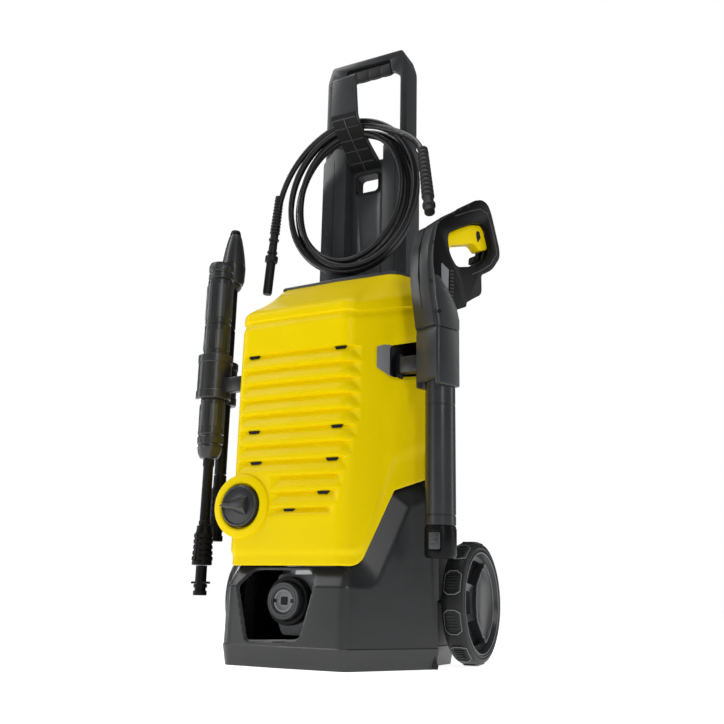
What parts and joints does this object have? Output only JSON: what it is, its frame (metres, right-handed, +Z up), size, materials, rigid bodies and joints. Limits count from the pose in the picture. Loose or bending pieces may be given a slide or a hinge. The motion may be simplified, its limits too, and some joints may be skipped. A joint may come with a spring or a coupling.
{
  "type": "pressure washer",
  "caption": "Upright wheeled electric pressure washer with yellow louvred cover, telescopic handle, hanging hose coil, trigger gun and side-mounted lances.",
  "frame": {"origin": "on the ground, in the underside of the base, midway between its front and back faces", "axes": "+Z up, -Y is the front with the knob and the outlet, +X is the side with the trigger gun"},
  "size_m": [0.3995, 0.282, 0.86],
  "materials": {
    "yellow_cover": "glossy injection-moulded",
    "dark_plastic": "fine grained, satin",
    "grey_plastic": "fine grained, satin",
    "black_plastic": "satin",
    "black_rubber": "dull",
    "tyre_plastic": "dull",
    "aluminium": "cast",
    "steel": "turned",
    "brass": "drawn"
  },
  "bodies": {
    "machine": {"front_cover": "yellow_cover", "rear_cover": "dark_plastic", "base_housing": "dark_plastic", "gun_holder": "dark_plastic", "lance_holder": "dark_plastic", "top_cap": "grey_plastic", "column_panel": "grey_plastic", "hose_hook": "grey_plastic", "outlet_plate": "grey_plastic", "outlet_nut": "grey_plastic", "gun_shell": "grey_plastic", "gun_barrel": "grey_plastic", "base_plate": "black_plastic", "switch_box": "black_plastic", "inlet_connector": "black_plastic", "motor_end_cap": "black_plastic", "bezel_left": "black_plastic", "bezel_right": "black_plastic", "gun_body": "black_plastic", "gun_coupling": "black_plastic", "mains_gland": "black_rubber", "hose_coil": "black_rubber", "hose_gun_end": "black_rubber", "hose_free_end": "black_rubber", "gun_kink_sleeve": "black_rubber", "free_kink_sleeve": "black_rubber", "hose_plug": "black_rubber", "outlet_socket": "aluminium", "pump_head": "aluminium", "pump_housing": "aluminium", "motor_housing": "aluminium", "capacitor": "aluminium", "wheel_axle": "steel", "inlet_strainer": "steel", "piston_1": "steel", "piston_2": "steel", "piston_3": "steel", "outlet_pipe": "brass", "stator": "brass"},
    "wheel_left": {"tyre_left": "tyre_plastic", "rim_left": "dark_plastic"},
    "wheel_right": {"tyre_right": "tyre_plastic", "rim_right": "dark_plastic"},
    "handle": {"handle_frame": "dark_plastic", "handle_grip": "black_rubber"},
    "knob": {"switch_knob": "dark_plastic"},
    "rotor": {"motor_rotor": "steel", "cooling_fan": "black_plastic", "swash_plate": "steel"},
    "trigger": {"gun_trigger": "yellow_cover"},
    "lock": {"trigger_lock": "black_plastic"},
    "coupling_release": {"coupling_button": "grey_plastic"},
    "adjustable_lance": {"lance_bayonet": "black_plastic", "lance_grip": "black_plastic", "lance_tube": "black_plastic", "lance_sleeve": "dark_plastic"},
    "adjusting_ring": {"lance_nozzle_ring": "grey_plastic"},
    "rotor_lance": {"rotor_lance_grip": "black_plastic", "rotor_lance_tube": "black_plastic", "rotor_nozzle": "dark_plastic"}
  },
  "joints": [
    {"name": "wheel_left_spin", "type": "hinge", "parent": "machine", "child": "wheel_left", "pos_m": [-0.1654, 0.069, 0.073], "axis": [1, 0, 0], "continuous": true},
    {"name": "wheel_right_spin", "type": "hinge", "parent": "machine", "child": "wheel_right", "pos_m": [0.1654, 0.069, 0.073], "axis": [1, 0, 0], "continuous": true},
    {"name": "handle_slide", "type": "slide", "parent": "machine", "child": "handle", "axis": [0, 0, 1], "range_m": [-0.09, 0]},
    {"name": "switch_turn", "type": "hinge", "parent": "machine", "child": "knob", "pos_m": [-0.061, -0.12, 0.1754], "axis": [0, 1, 0], "range_deg": [0, 90]},
    {"name": "motor_spin", "type": "hinge", "parent": "machine", "child": "rotor", "pos_m": [0, -0.034, 0.2], "axis": [0, 0, 1], "continuous": true},
    {"name": "trigger_squeeze", "type": "hinge", "parent": "machine", "child": "trigger", "pos_m": [0.16369, -0.05538, 0.492], "axis": [0.9063, -0.4226, 0], "range_deg": [0, 6], "stiffness_Nm_per_rad": 0.5, "springref_deg": -5.73},
    {"name": "trigger_lock_turn", "type": "hinge", "parent": "machine", "child": "lock", "pos_m": [0.18736, -0.00462, 0.483], "axis": [0.9063, -0.4226, 0], "range_deg": [0, 20]},
    {"name": "coupling_release_push", "type": "slide", "parent": "machine", "child": "coupling_release", "axis": [0, 1, 0], "range_m": [0, 0.0018], "stiffness_N_per_m": 300, "springref_m": -0.001},
    {"name": "adjustable_lance_lift", "type": "slide", "parent": "machine", "child": "adjustable_lance", "axis": [0, 0, 1], "range_m": [0, 0.08]},
    {"name": "jet_adjust", "type": "hinge", "parent": "adjustable_lance", "child": "adjusting_ring", "pos_m": [-0.163, -0.055, 0.4913], "axis": [0, 0, 1], "range_deg": [-90, 0]},
    {"name": "rotor_lance_lift", "type": "slide", "parent": "machine", "child": "rotor_lance", "axis": [0, 0, 1], "range_m": [0, 0.08]}
  ]
}
